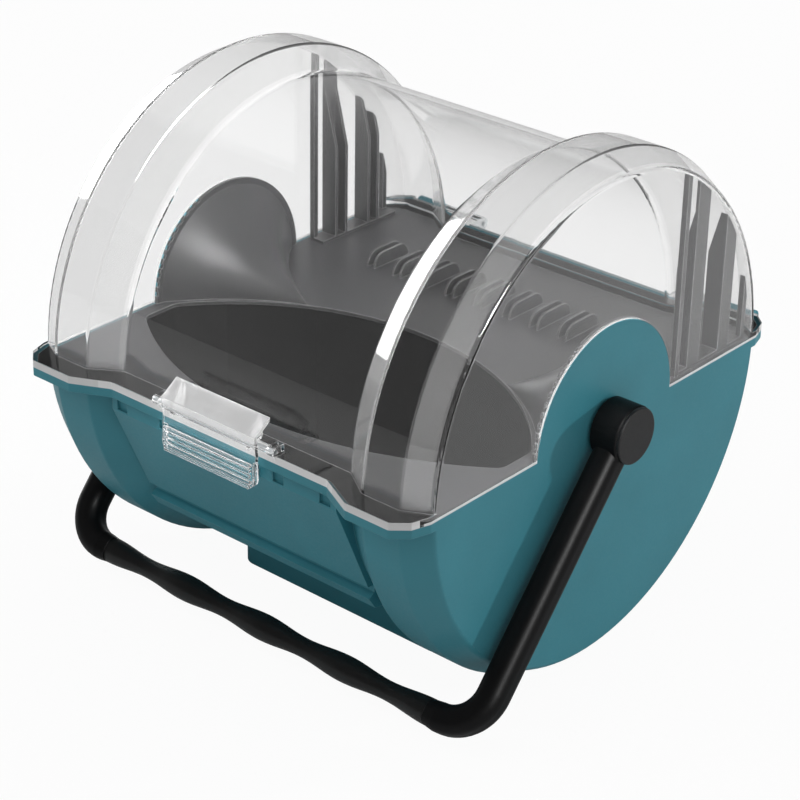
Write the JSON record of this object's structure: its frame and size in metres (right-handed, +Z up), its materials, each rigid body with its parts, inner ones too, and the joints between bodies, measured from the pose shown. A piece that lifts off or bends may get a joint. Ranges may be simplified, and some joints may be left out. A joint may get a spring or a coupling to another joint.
{
  "type": "saw blade storage case",
  "caption": "Drum-shaped saw blade case: teal base, clear hinged lid with rocker latch, dark ribbed tray over a blade well, and a swinging bail handle.",
  "frame": {"origin": "centre of the underside of the foot", "axes": "+X along the drum axis, +Y to the hinged back, +Z up; the latch is at -Y"},
  "size_m": [0.3828, 0.3885, 0.352],
  "materials": {
    "teal_shell": "satin moulded",
    "clear_shell": "clear polished polycarbonate",
    "tray_plastic": "satin moulded",
    "well_plastic": "matt moulded",
    "handle_plastic": "satin moulded",
    "grip_rubber": "satin",
    "cap_plastic": "satin moulded",
    "nylon": "natural nylon",
    "steel": "zinc plated"
  },
  "bodies": {
    "base": {"base_shell": "teal_shell", "tray_cover": "tray_plastic", "blade_well": "well_plastic", "tray_screws": "steel", "end_divider_left": "tray_plastic", "end_divider_right": "tray_plastic", "hinge_pin_left": "steel", "hinge_pin_right": "steel", "pivot_bolt_left": "steel", "pivot_bolt_right": "steel", "head_washer_left": "steel", "head_washer_right": "steel", "pivot_washer_left": "steel", "pivot_washer_right": "steel", "pivot_nut_left": "steel", "pivot_nut_right": "steel"},
    "lid": {"lid_shell": "clear_shell", "latch_pin": "steel"},
    "latch": {"latch": "clear_shell"},
    "handle": {"handle_bail": "handle_plastic", "handle_grip": "grip_rubber", "hub_cap_left": "cap_plastic", "hub_cap_right": "cap_plastic", "pivot_bush_left": "nylon", "pivot_bush_right": "nylon"}
  },
  "joints": [
    {"name": "lid_hinge", "type": "hinge", "parent": "base", "child": "lid", "pos_m": [0, 0.1935, 0.177], "axis": [-1, 0, 0], "range_deg": [0, 100]},
    {"name": "latch_pivot", "type": "hinge", "parent": "lid", "child": "latch", "pos_m": [0, -0.1775, 0.1853], "axis": [-1, 0, 0], "range_deg": [0, 25]},
    {"name": "handle_pivot", "type": "hinge", "parent": "base", "child": "handle", "pos_m": [0, 0, 0.177], "axis": [-1, 0, 0], "range_deg": [0, 200]}
  ]
}
